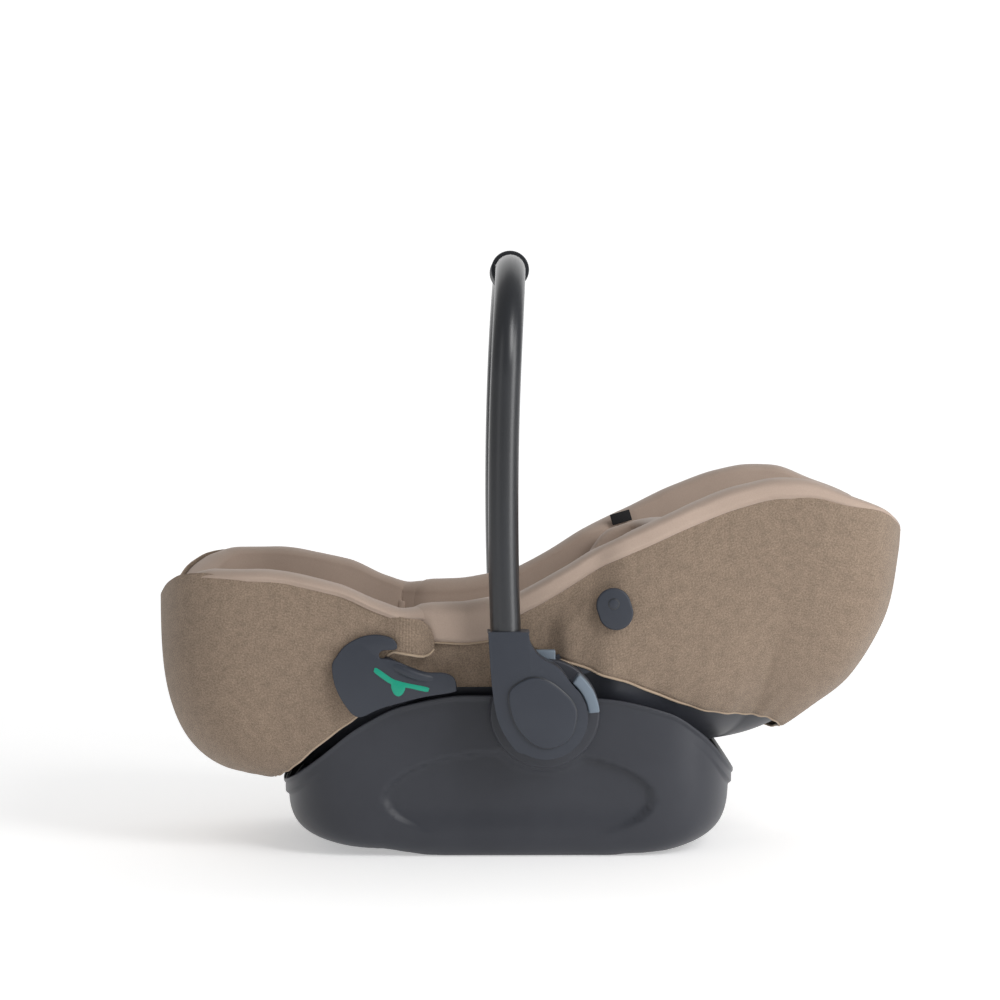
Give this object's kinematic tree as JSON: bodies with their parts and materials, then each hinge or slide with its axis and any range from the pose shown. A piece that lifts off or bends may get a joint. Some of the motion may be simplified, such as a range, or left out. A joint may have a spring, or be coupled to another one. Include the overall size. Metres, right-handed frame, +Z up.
{
  "type": "infant car seat",
  "caption": "Lie-flat infant car seat: padded foot and back buckets on a rocker base, swinging carry handle, round hubs, harness and headrest.",
  "frame": {"origin": "on the floor under the middle of the seat's length and width", "axes": "+X towards the head end, -Y towards the child's left side, +Z up"},
  "size_m": [0.724, 0.4422, 0.582],
  "materials": {
    "base_plastic": "fine grained, satin",
    "cap_plastic": "smooth, satin",
    "handle_finish": "smooth, satin",
    "button_plastic": "satin",
    "green_mark": "satin",
    "red_button": "gloss",
    "steel": "zinc plated",
    "foam": "expanded bead foam",
    "woven_cover": "two-tone woven melange",
    "smooth_cover": "smooth knit",
    "webbing": "woven webbing"
  },
  "bodies": {
    "base_and_seat": {"rocker_base": "base_plastic", "base_cross_bar_front": "base_plastic", "base_cross_bar_rear": "base_plastic", "foot_shell": "base_plastic", "foot_foam": "foam", "foot_cover": "woven_cover", "seat_pad": "smooth_cover", "hip_bolster_left": "smooth_cover", "hip_bolster_right": "smooth_cover", "belt_guide_left": "base_plastic", "belt_guide_right": "base_plastic", "belt_mark_left": "green_mark", "belt_mark_right": "green_mark", "pivot_housing_left": "base_plastic", "pivot_housing_right": "base_plastic", "pivot_axle_left": "steel", "pivot_axle_right": "steel", "lock_ring_left": "steel", "lock_ring_right": "steel", "crotch_strap": "webbing", "crotch_pad": "smooth_cover", "buckle_housing": "base_plastic", "harness_adjuster": "base_plastic"},
    "handle": {"handle_bar": "handle_finish", "handle_grip": "handle_finish", "handle_hub_left": "base_plastic", "handle_hub_right": "base_plastic", "hub_cap_left": "cap_plastic", "hub_cap_right": "cap_plastic", "button_spring_left": "steel", "button_spring_right": "steel"},
    "left_handle_button": {"handle_button_left": "button_plastic"},
    "right_handle_button": {"handle_button_right": "button_plastic"},
    "left_adapter_button": {"adapter_button_left": "button_plastic"},
    "right_adapter_button": {"adapter_button_right": "button_plastic"},
    "backrest": {"back_shell": "base_plastic", "back_foam": "foam", "back_pad": "smooth_cover", "back_cover": "woven_cover", "recline_bracket_left": "steel", "recline_bracket_right": "steel", "recline_pin_left": "steel", "recline_pin_right": "steel", "hood_mount_left": "base_plastic", "hood_mount_right": "base_plastic", "hood_pin_left": "steel", "hood_pin_right": "steel", "cover_tag": "webbing", "shoulder_strap_left": "webbing", "shoulder_strap_right": "webbing", "shoulder_pad_left": "smooth_cover", "shoulder_pad_right": "smooth_cover"},
    "headrest": {"headrest_shell": "base_plastic", "headrest_cushion": "smooth_cover", "headrest_pull": "webbing"},
    "lever": {"recline_lever": "base_plastic"},
    "buckle_release": {"buckle_button": "red_button"},
    "harness_release": {"adjuster_button": "button_plastic"}
  },
  "joints": [
    {"name": "handle_swing", "type": "hinge", "parent": "base_and_seat", "child": "handle", "pos_m": [0.0128, 0, 0.142], "axis": [0, 1, 0], "range_deg": [0, 105]},
    {"name": "handle_button_left", "type": "slide", "parent": "handle", "child": "left_handle_button", "axis": [-0.8788, 0, -0.4772], "range_m": [0, 0.0045], "stiffness_N_per_m": 250, "springref_m": -0.003, "deforming": ["button_spring_left"]},
    {"name": "handle_button_right", "type": "slide", "parent": "handle", "child": "right_handle_button", "axis": [-0.8788, 0, -0.4772], "range_m": [0, 0.0045], "stiffness_N_per_m": 250, "springref_m": -0.003, "deforming": ["button_spring_right"]},
    {"name": "adapter_button_left", "type": "slide", "parent": "base_and_seat", "child": "left_adapter_button", "axis": [0, 0, -1], "range_m": [0, 0.0035], "stiffness_N_per_m": 250, "springref_m": -0.003},
    {"name": "adapter_button_right", "type": "slide", "parent": "base_and_seat", "child": "right_adapter_button", "axis": [0, 0, -1], "range_m": [0, 0.0035], "stiffness_N_per_m": 250, "springref_m": -0.003},
    {"name": "backrest_recline", "type": "hinge", "parent": "base_and_seat", "child": "backrest", "pos_m": [0, 0, 0.176], "axis": [0, -1, 0], "range_deg": [0, 22]},
    {"name": "headrest_height", "type": "slide", "parent": "backrest", "child": "headrest", "axis": [0.9511, 0, 0.309], "range_m": [0, 0.04]},
    {"name": "recline_lever", "type": "hinge", "parent": "backrest", "child": "lever", "pos_m": [0.3506, 0, 0.2336], "axis": [0, -1, 0], "range_deg": [0, 20], "stiffness_Nm_per_rad": 0.3, "springref_deg": -17.19},
    {"name": "buckle_button", "type": "slide", "parent": "base_and_seat", "child": "buckle_release", "axis": [0, 0, -1], "range_m": [0, 0.003], "stiffness_N_per_m": 250, "springref_m": -0.003},
    {"name": "adjuster_button", "type": "slide", "parent": "base_and_seat", "child": "harness_release", "axis": [0, 0, -1], "range_m": [0, 0.003], "stiffness_N_per_m": 250, "springref_m": -0.003}
  ]
}
